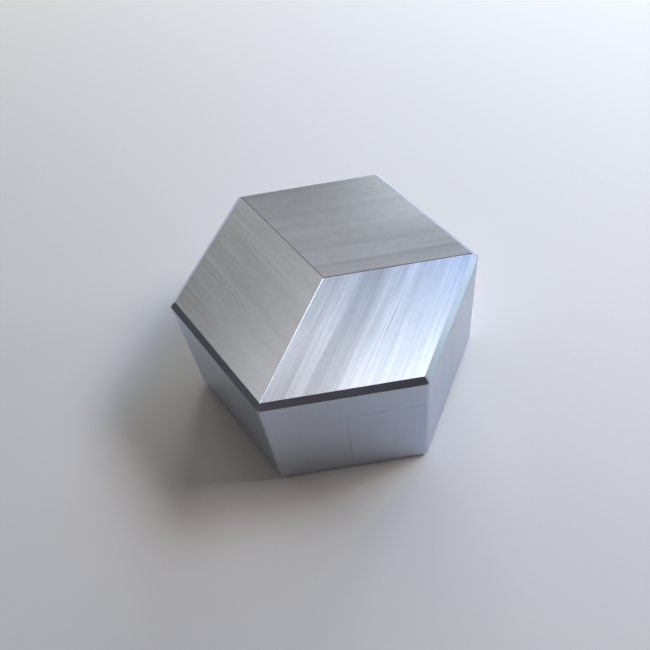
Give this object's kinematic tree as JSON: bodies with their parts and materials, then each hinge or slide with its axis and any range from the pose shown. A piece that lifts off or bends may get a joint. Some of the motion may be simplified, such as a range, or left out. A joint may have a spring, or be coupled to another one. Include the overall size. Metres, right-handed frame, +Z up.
{
  "type": "hexagonal air-cushion fidget",
  "caption": "Solid aluminium hexagonal prism whose rhombic-block sleeve slides up off a star-shaped core on a close air-cushion fit, a desk fidget toy",
  "frame": {"origin": "middle of the underside, on the surface that the closed object stands on", "axes": "+Z is up, along the prism and the slide; +X points to one corner of the hexagon, across corners; -Y looks out of one side face"},
  "size_m": [0.0498, 0.0434, 0.025],
  "materials": {
    "ground_aluminium": "ground with a straight grain on top, satin on the sides",
    "satin_aluminium": "fine satin, wire-cut and lapped",
    "turned_steel": "face-turned",
    "screw_steel": "dark oxide",
    "dowel_steel": "hardened and polished"
  },
  "bodies": {
    "core": {"core": "satin_aluminium"},
    "sleeve": {"sleeve_block_front": "ground_aluminium", "sleeve_block_rear": "ground_aluminium", "sleeve_block_left": "ground_aluminium", "tie_disc": "turned_steel", "tie_screw_1": "screw_steel", "tie_screw_2": "screw_steel", "tie_screw_3": "screw_steel", "tie_screw_4": "screw_steel", "tie_screw_5": "screw_steel", "tie_screw_6": "screw_steel", "upper_dowel_front": "dowel_steel", "upper_dowel_rear": "dowel_steel", "upper_dowel_left": "dowel_steel", "lower_dowel_front": "dowel_steel", "lower_dowel_rear": "dowel_steel", "lower_dowel_left": "dowel_steel"}
  },
  "joints": [
    {"name": "sleeve_slide", "type": "slide", "parent": "core", "child": "sleeve", "axis": [0, 0, 1], "range_m": [0, 0.022]}
  ]
}
